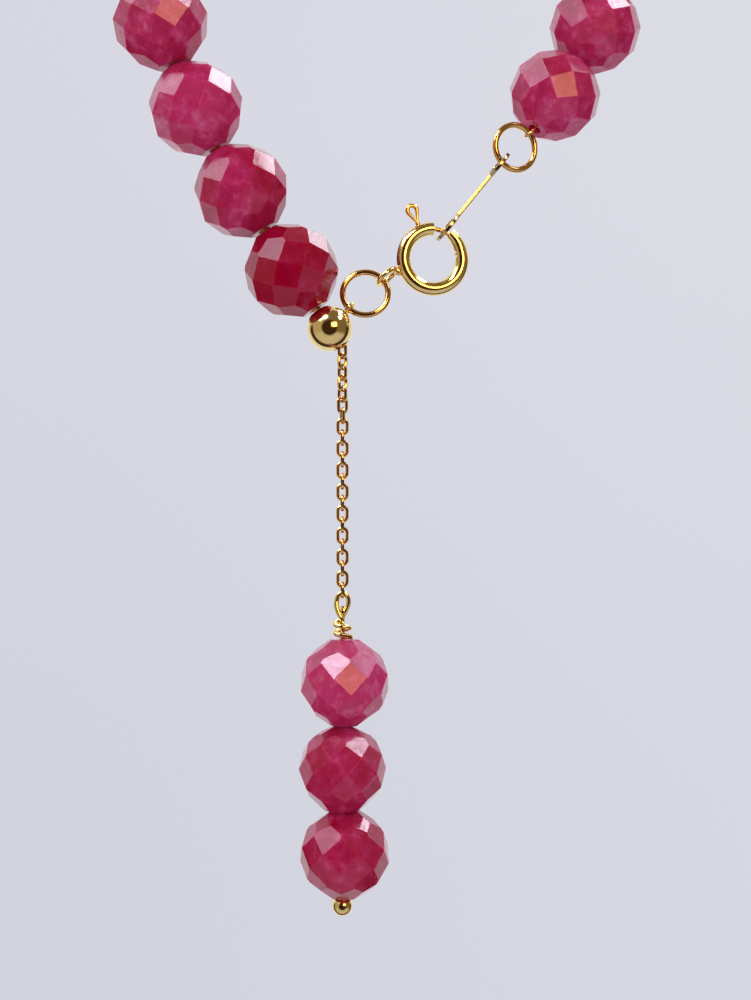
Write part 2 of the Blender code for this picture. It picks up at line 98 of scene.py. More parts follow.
class Wire:
    """A socket in a node tree. Python's operators add Math nodes to it, and node() adds any other."""

    def __init__(self, tree, socket=None):
        self.tree = tree
        self.socket = socket

    def node(self, kind, settings=None, values=None, output=0):
        made = self.tree.nodes.new(kind)
        for name, value in (settings or {}).items():
            if name == "captures":
                made.capture_items.new(*value)
            else:
                setattr(made, name, value)
        for name, value in (values or {}).items():
            if isinstance(value, (Wire, list)):
                for wire in value if isinstance(value, list) else [value]:
                    self.tree.links.new(wire.socket, made.inputs[name])
            else:
                made.inputs[name].default_value = value
        return Wire(self.tree, made.outputs[output])

    def end(self, kind):
        """Lead this socket into the tree's output."""
        self.tree.links.new(self.socket, self.tree.nodes.new(kind).inputs[0])

    def also(self, output):
        """Another output of the same node."""
        return Wire(self.tree, self.socket.node.outputs[output])

    def maths(self, operation, *values):
        return self.node("ShaderNodeMath", {"operation": operation}, dict(enumerate(values)))

    def __add__(self, other):
        return self.maths("ADD", self, other)

    def __radd__(self, other):
        return self.maths("ADD", other, self)

    def __sub__(self, other):
        return self.maths("SUBTRACT", self, other)

    def __rsub__(self, other):
        return self.maths("SUBTRACT", other, self)

    def __mul__(self, other):
        return self.maths("MULTIPLY", self, other)

    def __rmul__(self, other):
        return self.maths("MULTIPLY", other, self)

    def __truediv__(self, other):
        return self.maths("DIVIDE", self, other)

    def __rtruediv__(self, other):
        return self.maths("DIVIDE", other, self)

    def __mod__(self, other):
        return self.maths("FLOORED_MODULO", self, other)

    def ease(self, low, high):
        """0 at low, 1 at high, and smooth between them."""
        values = {"Value": self, "From Min": low, "From Max": high}
        return self.node("ShaderNodeMapRange", {"interpolation_type": "SMOOTHSTEP"}, values)

    def blend(self, first, second):
        """The first colour where this is 0 and the second where it is 1."""
        return self.node("ShaderNodeMix", {"data_type": "RGBA"}, {0: self, 6: first, 7: second}, 2)

    def dot(self, other):
        values = {0: self, 1: other}
        return self.node("ShaderNodeVectorMath", {"operation": "DOT_PRODUCT"}, values, "Value")

    def times(self, factor):
        values = {0: self, "Scale": factor}
        return self.node("ShaderNodeVectorMath", {"operation": "SCALE"}, values)


def begin(block):
    """The empty shader tree of a material or a world."""
    block.use_nodes = True
    block.node_tree.nodes.clear()
    return Wire(block.node_tree)


def turned(profile, sides):
    """A mesh turned about Z from (radius, height) points, which may meet the axis or close on themselves."""
    shape = bmesh.new()
    rings = []
    for radius, height in profile:
        ring = []
        for k in range(sides if radius else 1):
            angle = math.tau * k / sides
            place = (radius * math.cos(angle), radius * math.sin(angle), height)
            ring.append(shape.verts.new(place))
        rings.append(ring)
    for low, high in zip(rings, rings[1:]):
        for k in range(sides):
            n = (k + 1) % sides
            corners = (low[k % len(low)], low[n % len(low)], high[n % len(high)], high[k % len(high)])
            shape.faces.new(dict.fromkeys(corners))
    bmesh.ops.remove_doubles(shape, verts=shape.verts, dist=0.001 * MM)
    mesh = bpy.data.meshes.new("turned")
    shape.to_mesh(mesh)
    shape.free()
    mesh.shade_smooth()
    return mesh


sweep = [(0, -FLOOR_DROP)]
for step in range(SWEEP_STEPS + 1):
    angle = math.pi / 2 * step / SWEEP_STEPS
    reach = WALL_RADIUS - SWEEP_RADIUS + SWEEP_RADIUS * math.sin(angle)
    sweep.append((reach, SWEEP_RADIUS - FLOOR_DROP - SWEEP_RADIUS * math.cos(angle)))
sweep.append((WALL_RADIUS, WALL_TOP))
backdrop = put("backdrop", turned(sweep, 96))
backdrop.visible_diffuse = False
backdrop.visible_glossy = False
backdrop.visible_shadow = False

glowing_backdrop = bpy.data.materials.new("pale paper")
start = begin(glowing_backdrop)
place = start.node("ShaderNodeTexCoord", output="Object")
# Painted light: the glow is a shade lighter upwards and to the right, as if lit from there.
lit = place.dot(up).ease(-385 * MM, 230 * MM) * 0.5 + place.dot(right).ease(-280 * MM, 280 * MM) * 0.5
shade = lit.blend(tone(208, 210, 221), tone(220, 220, 229))
start.node("ShaderNodeEmission", values={"Color": shade}).end("ShaderNodeOutputMaterial")
backdrop.data.materials.append(glowing_backdrop)


# The light. The room is dim and brown behind the camera and beside it, and the floor and the wall
# behind the bracelet are pale. Bright soft panels stand high up and a warm lamp stands beside the
# camera, and the stones' flat facets and the polished gold mirror them.
ROOM_LEFT = (0.5, 0.43, 0.31, 1.0)
ROOM_RIGHT = (0.22, 0.165, 0.09, 1.0)
ROOM_DARK = (0.045, 0.022, 0.014, 1.0)
ROOM_FLOOR = (0.62, 0.6, 0.6, 1.0)
ROOM_WALL = (0.9, 0.92, 0.98, 1.0)
WALL_FOOT = (0.06, 0.035, 0.02, 1.0)
PANEL_DISTANCE = 600 * MM


def heading(azimuth, elevation):
    """A direction by degrees to the viewer's right from the camera's side, and by degrees up."""
    azimuth = math.radians(azimuth)
    elevation = math.radians(elevation)
    level = right * math.sin(azimuth) - back * math.cos(azimuth)
    return level * math.cos(elevation) + up * math.sin(elevation)


def panel(name, azimuth, elevation, wide, tall, radiance, colour, gleam=True):
    """A panel of light, as many degrees wide and tall as it looks from the bracelet. A gleam is seen
    in what it lights and no more, and the others only light it softly."""
    light = bpy.data.lights.new(name, "AREA")
    light.shape = "RECTANGLE"
    light.size = 2 * PANEL_DISTANCE * math.tan(math.radians(wide / 2))
    light.size_y = 2 * PANEL_DISTANCE * math.tan(math.radians(tall / 2))
    light.energy = radiance * math.pi * light.size * light.size_y
    light.color = colour
    lamp = put(name, light)
    out = heading(azimuth, elevation)
    lamp.location = VIEW_AIM + out * PANEL_DISTANCE
    lamp.rotation_euler = out.to_track_quat("Z", "Y").to_euler()
    lamp.visible_camera = False
    lamp.visible_diffuse = not gleam
    lamp.visible_glossy = gleam


panel("right panel", 112, 54, 31, 13, 15.0, (1.0, 0.98, 1.0))
panel("near fill", 72, 46, 14, 14, 5.5, (0.95, 0.94, 1.0))
panel("far fill", 140, 43, 12, 12, 5.5, (0.95, 0.94, 1.0))
panel("front panel", -38, 54, 24, 13, 22.0, (1.0, 0.98, 1.0))
panel("left panel", -76, 43, 46, 20, 4.5, (0.93, 0.94, 1.0))
panel("warm lamp", 24, 17, 23, 20, 9.0, (1.0, 0.55, 0.2))
panel("soft fill", 0, 18, 80, 60, 1.2, (1.0, 0.95, 1.0), gleam=False)
panel("soft top light", 60, 60, 50, 40, 0.9, (1.0, 0.95, 1.0), gleam=False)

room = bpy.data.worlds.new("room")
bpy.context.scene.world = room
start = begin(room)
out = start.node("ShaderNodeTexCoord", output="Generated")
front = out.dot(-back)
rise = out.dot(up)
side = out.dot(right).ease(-0.75, 0.1).blend(ROOM_LEFT, ROOM_RIGHT)
side = (0 - rise).ease(0.2, 0.55).blend(side, ROOM_FLOOR)
side = front.ease(0.7, 0.84).blend(side, ROOM_DARK)
foot = front.ease(-0.46, -0.36) * (1 - front.ease(-0.08, 0.06)) * (1 - rise.ease(0.05, 0.35))
wall = (0 - front).ease(0.1, 0.3).blend(side, ROOM_WALL)
glow = start.node("ShaderNodeBackground", values={"Color": foot.blend(wall, WALL_FOOT)})
glow.end("ShaderNodeOutputWorld")


# The stone beads. Each is a round of rhodonite, a pink stone with pale clouds, cut all over by hand
# with rows of small flat facets, polished, and drilled through. Eighteen are strung on the loop and
# three smaller ones are on the head pin.
BEAD_DIAMETER = 8.06 * MM
BEAD_SPREAD = 0.03 * MM
DROP_DIAMETERS = (7.6 * MM, 7.4 * MM, 7.65 * MM)
FACETS_AROUND = 8
FACET_ROWS = 8
FACET_STEP = math.radians(21.3)
FACET_WANDER = math.radians(1.1)
FACET_INRADIUS = 0.962
SHOULDER_INRADIUS = 0.973
POLE_INRADIUS = 0.985
NO_FACET = 2.0
END_ROW_BEND = math.radians(9)
FACET_EDGE = 0.03 * MM
HOLE_RADIUS = 0.6 * MM
HOLE_SIDES = 24

# Turn of the facets about the hole where a bead is seen, its clouds, and its rows' slide in degrees
STRAND_LOOKS = {
    1: (-8.6, 0.0, 0),
    2: (-17.3, 0.4, 0),
    3: (-16.9, 0.8, 0),
    4: (19.1, 0.6, 4),
    17: (14.2, 0.6, 9),
    18: (16.0, 0.6, 3),
}
DROP_LOOKS = ((-13.3, 0.85, 0), (-16.4, 0.4, 10), (-27.9, 0.35, 0))


def begin_shape(name, sizes):
    """An empty Geometry Nodes tree with a geometry in and out and a named input for each size."""
    tree = bpy.data.node_groups.new(name, "GeometryNodeTree")
    tree.interface.new_socket("Geometry", in_out="OUTPUT", socket_type="NodeSocketGeometry")
    tree.interface.new_socket("Geometry", in_out="INPUT", socket_type="NodeSocketGeometry")
    for size, kind in sizes.items():
        tree.interface.new_socket(size, in_out="INPUT", socket_type="NodeSocket" + kind)
    return Wire(tree).node("NodeGroupInput")


def end_shape(shape, finish):
    """Close a tree: one real mesh, in its material."""
    real = shape.node("GeometryNodeRealizeInstances", values={0: shape})
    real.node("GeometryNodeSetMaterial", values={"Geometry": real, "Material": finish}).end("NodeGroupOutput")


def shaped(item, tree, sizes):
    """Give an object a tree as its modifier, with these sizes."""
    modifier = item.modifiers.new(tree.name, "NODES")
    modifier.node_group = tree
    for socket in tree.interface.items_tree:
        if socket.in_out == "INPUT" and socket.name in sizes:
            modifier[socket.identifier] = sizes[socket.name]
    return item


def settle(item, place=Matrix()):
    """Turn an object and its modifiers into a plain mesh, in its place."""
    graph = bpy.context.evaluated_depsgraph_get()
    mesh = bpy.data.meshes.new_from_object(item.evaluated_get(graph))
    item.modifiers.clear()
    item.data = mesh
    mesh.transform(place)
    return item


def cut(item, tools):
    """Cut an object with tools and remove them."""
    for tool in tools:
        change = item.modifiers.new("cut", "BOOLEAN")
        change.object = tool
    settle(item)
    for tool in tools:
        bpy.data.objects.remove(tool)
    return item


def fasten(item, body, nodes):
    """Let a finished piece move with its body and stand for its plain solids."""
    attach(item, body)
    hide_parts(*nodes)


def frame_at(origin, x_axis, z_axis):
    """A place with local Z along z_axis and local X as near x_axis as it can be."""
    z_axis = z_axis.normalized()
    x_axis = (x_axis - z_axis * x_axis.dot(z_axis)).normalized()
    turn = Matrix((x_axis, z_axis.cross(x_axis), z_axis)).transposed().to_4x4()
    return Matrix.Translation(origin) @ turn


def middle_of(node):
    """The centre of volume of a plain solid."""
    mesh = frame["nodes"][node].data
    corners = np.array([corner.co for corner in mesh.vertices])
    mesh.calc_loop_triangles()
    triangles = corners[np.array([face.vertices for face in mesh.loop_triangles])]
    volumes = np.einsum("ij,ij->i", triangles[:, 0], np.cross(triangles[:, 1], triangles[:, 2]))
    return Vector(np.average(triangles.sum(axis=1) / 4, axis=0, weights=volumes))


def axes_of(node):
    """The directions of a plain solid's own length, width and thickness."""
    corners = np.array([corner.co for corner in frame["nodes"][node].data.vertices])
    corners = np.unique(np.round(corners, 7), axis=0) - np.array(middle_of(node))
    return [Vector(direction) for direction in np.linalg.svd(corners, full_matrices=False)[2]]


def rhodonite():
    """Translucent stone: deep crimson, with pink and whitish clouds and fine grain inside."""
    finish = bpy.data.materials.new("rhodonite")
    start = begin(finish)
    place = start.node("ShaderNodeTexCoord", output="Object").times(1 / MM)
    pale = start.node("ShaderNodeAttribute", {"attribute_name": "clouds"}, output="Fac")
    noise = "ShaderNodeTexNoise"
    clouds = start.node(noise, values={"Vector": place, "Scale": 0.33, "Detail": 3, "Distortion": 0.8})
    wisps = start.node(noise, values={"Vector": place, "Scale": 1.1, "Detail": 6, "Roughness": 0.62})
    grain = start.node(noise, values={"Vector": place, "Scale": 5.5, "Detail": 3})
    cloudy = (clouds * 0.55 + wisps * 0.45 + pale * 0.34 + (grain - 0.5) * 0.16).ease(0.42, 0.88)
    milky = (wisps * 0.7 + clouds * 0.3 + pale * 0.16).ease(0.6, 0.86)
    body = cloudy.blend(tone(176, 0, 50), tone(218, 60, 132))
    body = (milky * 0.6).blend(body, tone(238, 156, 198))
    pits = start.node(noise, values={"Vector": place, "Scale": 4.6, "Detail": 5, "Roughness": 0.75})
    pits = pits.ease(0.52, 0.66)
    bump = start.node("ShaderNodeBump", values={"Strength": 0.25, "Distance": 0.01 * MM, "Height": 1 - pits})
    values = {
        "Base Color": body,
        "Roughness": 0.08 + pits * 0.2,
        "IOR": 1.43,
        "Specular Tint": (0.85, 0.82, 1.0, 1.0),
        "Subsurface Weight": 0.85,
        "Subsurface Radius": (1.0, 0.28, 0.4),
        "Subsurface Scale": 2.4 * MM,
        "Transmission Weight": 0.2,
        "Normal": bump,
    }
    start.node("ShaderNodeBsdfPrincipled", values=values).end("ShaderNodeOutputMaterial")
    return finish


def faceted_round():
    """A bead's tree. Each facet is a point at its normal over its inradius; the hull of the points,
    turned inside out by polar reciprocation, is the bead, so every facet is truly flat."""
    sizes = {"Diameter": "Float", "Around": "Int", "Rows": "Int", "Row Step": "Float", "Slide": "Float"}
    sizes |= {"Low End": "Float", "High End": "Float", "Wander": "Float", "Seed": "Int", "Finish": "Material"}
    start = begin_shape("faceted round", sizes)
    index = start.node("GeometryNodeInputIndex")
    around = start.also("Around")
    row = start.maths("FLOOR", index / around)
    stagger = ((row + 1) % 2) / 2
    wander = {2: 0 - start.also("Wander"), 3: start.also("Wander"), "Seed": start.also("Seed")}
    sway = index.node("FunctionNodeRandomValue", {"data_type": "FLOAT"}, wander, 1)
    nod = index.node("FunctionNodeRandomValue", {"data_type": "FLOAT"}, wander | {"ID": index + 1000}, 1)
    turn = (index % around + stagger) / around * math.tau + sway
    step = row - (start.also("Rows") - 1) / 2
    rise = step * start.also("Row Step") + start.also("Slide") + nod
    flat = start.maths("COSINE", rise)
    parts = {0: flat * start.maths("COSINE", turn), 1: flat * start.maths("SINE", turn), 2: start.maths("SINE", rise)}
    facing = index.node("ShaderNodeCombineXYZ", values=parts)

    from_end = start.also("Rows") / 2 - start.maths("ABSOLUTE", step)
    at_end = start.maths("LESS_THAN", from_end, 1)
    at_shoulder = start.maths("LESS_THAN", from_end, 2) - at_end
    above = start.maths("GREATER_THAN", step, 0)
    end = start.also("Low End") * (1 - above) + start.also("High End") * above
    inradius = FACET_INRADIUS + at_shoulder * (SHOULDER_INRADIUS - FACET_INRADIUS) + at_end * (end - FACET_INRADIUS)
    count = around * start.also("Rows")
    sides = start.node("GeometryNodePoints", values={"Count": count, "Position": facing.times(1 / inradius)})
    pole = start.node("ShaderNodeCombineXYZ", values={"Z": (index * 2 - 1) / POLE_INRADIUS})
    poles = start.node("GeometryNodePoints", values={"Count": 2, "Position": pole})
    hull = start.node("GeometryNodeJoinGeometry", values={0: [sides, poles]})
    hull = hull.node("GeometryNodeConvexHull", values={0: hull})
    normal = hull.node("GeometryNodeInputNormal")
    height = normal.dot(hull.node("GeometryNodeInputPosition"))
    corner = normal.times(start.also("Diameter") / 2 / height)
    capture = {"domain": "FACE", "captures": ("VECTOR", "Corner")}
    hull = hull.node("GeometryNodeCaptureAttribute", capture, {0: hull, 1: corner})
    corner = hull.also("Corner")
    bead = hull.node("GeometryNodeDualMesh", values={0: hull})
    bead = bead.node("GeometryNodeSetPosition", values={"Geometry": bead, "Position": corner})
    end_shape(bead, start.also("Finish"))
    return start.tree


stone = rhodonite()
bead_tree = faceted_round()
drill = put("drill", turned([(0, -6 * MM), (HOLE_RADIUS, -6 * MM), (HOLE_RADIUS, 6 * MM), (0, 6 * MM)], HOLE_SIDES))


def bead(name, diameter, seed, look, place, bends=(0, 0)):
    """One bead: faceted, its facets' edges eased by polishing, and drilled. An end is flat where
    the bead sits square on its neighbour, and has one more row where the strand bends."""
    turn, clouds, slide = look
    low_end, high_end = (FACET_INRADIUS if bend > END_ROW_BEND else NO_FACET for bend in bends)
    sizes = {"Diameter": diameter, "Around": FACETS_AROUND, "Rows": FACET_ROWS, "Row Step": FACET_STEP}
    sizes |= {"Slide": math.radians(slide), "Low End": low_end, "High End": high_end}
    sizes |= {"Wander": FACET_WANDER, "Seed": seed, "Finish": stone}
    item = shaped(put(name, bpy.data.meshes.new(name)), bead_tree, sizes)
    edges = item.modifiers.new("eased edges", "BEVEL")
    edges.width = FACET_EDGE
    edges.segments = 2
    edges.angle_limit = math.radians(8)
    hole = item.modifiers.new("hole", "BOOLEAN")
    hole.object = drill
    settle(item, place @ Matrix.Rotation(math.radians(turn), 4, "Z"))
    item.data.shade_flat()
    shares = item.data.attributes.new("clouds", "FLOAT", "POINT")
    shares.data.foreach_set("value", [clouds] * len(item.data.vertices))
    return item


chance = random.Random(5)
strand_nodes = sorted(node for node in frame["nodes"] if node.startswith("strand_bead"))
centres = [middle_of(node) for node in strand_nodes]
meetings = [(below + above) / 2 for below, above in zip(centres, centres[1:])]
meetings = [2 * centres[0] - meetings[0], *meetings, 2 * centres[-1] - meetings[-1]]
axes = [above - below for below, above in zip(meetings, meetings[1:])]
bends = [0, *[axis.angle(after) for axis, after in zip(axes, axes[1:])], 0]
for number, node in enumerate(strand_nodes, 1):
    look = STRAND_LOOKS.get(number, (chance.uniform(0, 45), chance.uniform(0.2, 0.7), 0))
    diameter = BEAD_DIAMETER - chance.uniform(0, 2) * BEAD_SPREAD
    place = frame_at(centres[number - 1], -back, axes[number - 1])
    item = bead(f"stone_bead_{number:02d}", diameter, number, look, place, bends[number - 1:number + 1])
    fasten(item, "bracelet", [node])

for number, (diameter, look) in enumerate(zip(DROP_DIAMETERS, DROP_LOOKS), 1):
    node = f"drop_bead_{number}"
    place = frame_at(middle_of(node), -back, up)
    fasten(bead(f"stone_drop_{number}", diameter, 40 + number, look, place), "drop", [node])
bpy.data.objects.remove(drill)


# The gold. Every finding is made of one warm yellow alloy and polished by tumbling, which leaves a
# faint haze and hairline scratches. The chain and its end wires are a redder batch, and the plate is
# left as it was stamped, dull, with its colour darkened by painted shade.
YELLOW = (0.86, 0.66, 0.29, 1.0)
RED = (0.75, 0.45, 0.17, 1.0)
# The plate's gold: a little rougher, and darker with painted shade.
DULL_SHADED = (0.5, 0.36, 0.18, 1.0)


def gold(name, colour, roughness):
    """Polished gold with a light haze, hairline scratches and soft hand-made unevenness."""
    finish = bpy.data.materials.new(name)
    start = begin(finish)
    place = start.node("ShaderNodeTexCoord", output="Object").times(1 / MM)
    noise = "ShaderNodeTexNoise"
    haze = start.node(noise, values={"Vector": place, "Scale": 1.3, "Detail": 4})
    stretch = start.node("ShaderNodeMapping", values={"Vector": place, "Rotation": (0.5, 0.3, 0.8), "Scale": (1, 14, 1)})
    hairs = start.node(noise, values={"Vector": stretch, "Scale": 2.2, "Detail": 3})
    uneven = start.node(noise, values={"Vector": place, "Scale": 1.6, "Detail": 1})
    bump = {"Strength": 0.35, "Distance": 0.03 * MM, "Height": uneven + hairs * 0.015}
    values = {
        "Base Color": haze.ease(0.35, 0.7).blend(colour, tuple(part * 0.93 for part in colour[:3]) + (1.0,)),
        "Metallic": 1.0,
        "Roughness": roughness + haze.ease(0.45, 0.75) * 0.07,
        "Normal": start.node("ShaderNodeBump", values=bump),
    }
    start.node("ShaderNodeBsdfPrincipled", values=values).end("ShaderNodeOutputMaterial")
    return finish


yellow_gold = gold("yellow gold", YELLOW, 0.09)
red_gold = gold("red gold", RED, 0.1)
# The plate's gold is darkened with painted shade.
dull_shaded_gold = gold("dull gold", DULL_SHADED, 0.15)
frame["nodes"]["strand_core"].data.materials.clear()
frame["nodes"]["strand_core"].data.materials.append(red_gold)


# The slider. It's a hollow 4 mm ball of thin gold with a flat rim at each end of its bore and a
# small ring soldered to its side. A rubber sleeve in the bore grips the chain wherever it is left.
SLIDER_RADIUS = 2.0 * MM
SLIDER_LEAN = math.radians(34.5)
SLIDER_BORE = 0.76 * MM
SLIDER_FLAT = 1.82 * MM
RIM_EASE = 0.05 * MM
GRIP_OUTER = 0.74 * MM
GRIP_INNER = 0.56 * MM
GRIP_HALF = 1.5 * MM
LUG_RADIUS = 0.52 * MM
LUG_WIRE = 0.16 * MM
LUG_CLOCK = 225
RING_RADIUS = 1.98 * MM
SHARP_ANGLE = math.radians(32)
WIRE_SIDES = 16


def drawn_wire():
    """A wire's tree: a round section along the object's own line, with its ends cut flat."""
    start = begin_shape("drawn wire", {"Radius": "Float", "Sides": "Int", "Finish": "Material"})
    path = start.node("GeometryNodeMeshToCurve", values={0: start})
    section = {"Resolution": start.also("Sides"), "Radius": start.also("Radius")}
    section = start.node("GeometryNodeCurvePrimitiveCircle", values=section)
    swept = {"Curve": path, "Profile Curve": section, "Fill Caps": True}
    end_shape(start.node("GeometryNodeCurveToMesh", values=swept), start.also("Finish"))
    return start.tree


wire_tree = drawn_wire()


def smooth(item):
    item.data.shade_smooth()
    item.data.set_sharp_from_angle(angle=SHARP_ANGLE)
    return item


def wire(name, points, radius, finish, place=Matrix(), closed=False, sides=WIRE_SIDES):
    """A piece of wire along points."""
    edges = [(i, i + 1) for i in range(len(points) - 1)]
    if closed:
        edges.append((len(points) - 1, 0))
    path = bpy.data.meshes.new(name)
    path.from_pydata(points, edges, [])
    item = shaped(put(name, path), wire_tree, {"Radius": radius, "Sides": sides, "Finish": finish})
    return smooth(settle(item, place))


def arc(radius, start, end, steps, centre=0):
    """Points of an arc in the XZ plane about a point up Z, by clock angles in degrees."""
    points = []
    for i in range(steps + 1):
        angle = math.radians(start + (end - start) * i / steps)
        points.append(Vector((radius * math.sin(angle), 0, centre + radius * math.cos(angle))))
    return points


def upright(origin, hole):
    """A place whose Y goes through a ring's hole, away from the viewer, and whose Z is upwards."""
    hole = hole if hole.dot(back) > 0 else -hole
    return frame_at(origin, hole.cross(up), up - hole * up.dot(hole))


def threaded(point, along, towards):
    """A place for a loop that a wire passes through: its hole faces along and its Z towards."""
    return frame_at(point, along.cross(towards), towards - along * towards.dot(along) / along.length_squared)


def on_ring(place, radius, clock):
    """A point on a ring's wire and the wire's direction there."""
    angle = math.radians(clock)
    point = place @ Vector((radius * math.sin(angle), 0, radius * math.cos(angle)))
    return point, place.to_3x3() @ Vector((math.cos(angle), 0, -math.sin(angle)))


def join(item, others):
    """Make others part of one piece with item."""
    whole = bmesh.new()
    for part in (item, *others):
        whole.from_mesh(part.data)
    whole.to_mesh(item.data)
    whole.free()
    for other in others:
        bpy.data.objects.remove(other)
    return item


first_ring = upright(middle_of("jump_ring_1"), axes_of("jump_ring_1")[2])
slider_middle = (Vector(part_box("slider_grip")[0]) + Vector(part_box("slider_grip")[1])) / 2
bore = up * math.cos(SLIDER_LEAN) - right * math.sin(SLIDER_LEAN)
slider_place = frame_at(slider_middle, right, bore)

rim = math.sqrt(SLIDER_RADIUS ** 2 - SLIDER_FLAT ** 2)
profile = [(SLIDER_BORE, RIM_EASE - SLIDER_FLAT), (SLIDER_BORE + RIM_EASE, -SLIDER_FLAT), (rim - RIM_EASE, -SLIDER_FLAT)]
for step in range(-24, 25):
    angle = math.acos(rim / SLIDER_RADIUS) * step / 24
    profile.append((SLIDER_RADIUS * math.cos(angle), SLIDER_RADIUS * math.sin(angle)))
profile += [(radius, -height) for radius, height in reversed(profile[:3])]
ball = smooth(put("slider", turned([*profile, profile[0]], 64)))
ball.data.materials.append(yellow_gold)
ball.data.transform(slider_place)
point, along = on_ring(first_ring, RING_RADIUS, LUG_CLOCK)
lug_place = threaded(point, along, point - slider_middle)
lug = wire("lug", arc(LUG_RADIUS, 0, 360, 32)[:-1], LUG_WIRE, yellow_gold, lug_place, closed=True)
fasten(join(ball, [lug]), "bracelet", ["slider_ball"])

rubber = bpy.data.materials.new("clear rubber")
start = begin(rubber)
values = {"Base Color": tone(214, 205, 190), "Roughness": 0.45, "IOR": 1.42, "Transmission Weight": 0.6}
start.node("ShaderNodeBsdfPrincipled", values=values).end("ShaderNodeOutputMaterial")
sleeve = []
for radius, height in ((GRIP_INNER, -GRIP_HALF), (GRIP_OUTER, -GRIP_HALF), (GRIP_OUTER, GRIP_HALF), (GRIP_INNER, GRIP_HALF)):
    sleeve.append((radius, height))
sleeve = smooth(put("sleeve", turned([*sleeve, sleeve[0]], 40)))
sleeve.data.materials.append(rubber)
sleeve.data.transform(slider_place)
fasten(sleeve, "bracelet", ["slider_grip"])


# The jump rings. Each is 0.5 mm wire coiled round a rod and sawn, with its cut pressed shut. One
# joins the slider's lug to the clasp, and the other joins the plate to the end of the strand.
RING_WIRE = 0.27 * MM
RING_CUT = 1.2
FIRST_CUT_CLOCK = 300
SECOND_CUT_CLOCK = 100

second_ring = upright(middle_of("jump_ring_2"), axes_of("jump_ring_2")[2])
for name, place, clock in (("jump_ring_1", first_ring, FIRST_CUT_CLOCK), ("jump_ring_2", second_ring, SECOND_CUT_CLOCK)):
    path = arc(RING_RADIUS, clock + RING_CUT / 2, clock + 360 - RING_CUT / 2, 110)
    fasten(wire("gold_" + name, path, RING_WIRE, red_gold, place), "bracelet", [name])


# The spring ring clasp. A round tube is bent into a ring with a gap. A bolt slides out of its bore
# across the gap and into a socket in the other end, pushed by a hidden spring, and a thumb tab of
# bent wire, soldered to the bolt, draws it back along a slot. A small loop is soldered to its side.
CLASP_RADIUS = 2.63 * MM
CLASP_TUBE = 0.61 * MM
CLASP_BORE = 0.42 * MM
CLASP_MOUTH = 34
CLASP_SLOT = (-102, -14)
CLASP_SLOT_WIDTH = 0.52 * MM
CLASP_BORE_SPAN = (-122, 1)
CLASP_SOCKET_SPAN = (33, 58)
BOLT_WIRE = 0.2 * MM
BOLT_SPAN = (-62, 53)
BOLT_PLAY = 0.06 * MM
TAB_CLOCK = math.radians(-24)
TAB_WIRE = 0.2 * MM
TAB_INNER = 3.35 * MM
TAB_OUTER = 5.2 * MM
TAB_HALF_WIDTH = 0.42 * MM
CLASP_LOOP_RADIUS = 0.975 * MM
CLASP_LOOP_WIRE = 0.225 * MM
CLASP_LOOP_CLOCK = 50
CLASP_SIDES = 40
SOLDER_RADIUS = 0.33 * MM
PINCH_END = 70
PINCH_DEPTH = 0.3 * MM
PINCH_FLATTENING = 0.2
CRIMP_CLOCK = 77
CRIMP_DEPTH = 0.34 * MM
CRIMP_REACH = 0.26 * MM


def slab(name, outline, thickness):
    """A flat piece with its outline in the XZ plane, half its thickness to each side."""
    shape = bmesh.new()
    near = [shape.verts.new(point - Vector((0, thickness / 2, 0))) for point in outline]
    far = [shape.verts.new(point + Vector((0, thickness / 2, 0))) for point in outline]
    shape.faces.new(near)
    shape.faces.new(reversed(far))
    for i, corner in enumerate(near):
        shape.faces.new((near[i - 1], far[i - 1], far[i], corner))
    bmesh.ops.recalc_face_normals(shape, faces=shape.faces)
    mesh = bpy.data.meshes.new(name)
    shape.to_mesh(mesh)
    shape.free()
    return put(name, mesh)


def pinch(corner):
    """Narrow the tube towards its mouth from the inside, and dent its inside with one blow of a punch."""
    clock = math.degrees(math.atan2(corner.x, corner.z)) % 360
    reach = math.hypot(corner.x, corner.z)
    inside = (CLASP_RADIUS + CLASP_TUBE - reach) / (2 * CLASP_TUBE)
    narrow = min(max((PINCH_END - clock) / (PINCH_END - CLASP_MOUTH), 0), 1) if clock > CLASP_MOUTH - 1 else 0
    aside = math.hypot(math.radians(clock - CRIMP_CLOCK) * CLASP_RADIUS, corner.y)
    dent = math.exp(-(aside / CRIMP_REACH) ** 2) * max(2 * inside - 1, 0)
    scale = 1 + (PINCH_DEPTH * narrow * inside + CRIMP_DEPTH * dent) / reach
    return Vector((corner.x * scale, corner.y * (1 - PINCH_FLATTENING * narrow), corner.z * scale))


def globe(name, radius, finish):
    steps = [math.pi * k / 24 for k in range(25)]
    item = put(name, turned([(radius * math.sin(step), -radius * math.cos(step)) for step in steps], 40))
    item.data.materials.append(finish)
    return item


hinge = next(joint for joint in frame["joints"] if joint["name"] == "clasp_latch_turn")
clasp_place = upright(Vector(hinge["pos_m"]), Vector(hinge["axis"]))
body = wire("clasp", arc(CLASP_RADIUS, CLASP_MOUTH - 360, 0, 220), CLASP_TUBE, yellow_gold, sides=CLASP_SIDES)
for corner in body.data.vertices:
    corner.co = pinch(corner.co)
bore = wire("bore", arc(CLASP_RADIUS, *CLASP_BORE_SPAN, 48), CLASP_BORE, yellow_gold)
socket = wire("socket", arc(CLASP_RADIUS, *CLASP_SOCKET_SPAN, 8), BOLT_WIRE + BOLT_PLAY, yellow_gold)
outline = arc(CLASP_RADIUS, *CLASP_SLOT, 40) + arc(CLASP_RADIUS + 2 * CLASP_TUBE, *reversed(CLASP_SLOT), 40)
slot = slab("slot", outline, CLASP_SLOT_WIDTH)
cut(body, [bore, socket, slot])
body.data.transform(clasp_place)
fasten(smooth(body), "bracelet", ["clasp_body"])

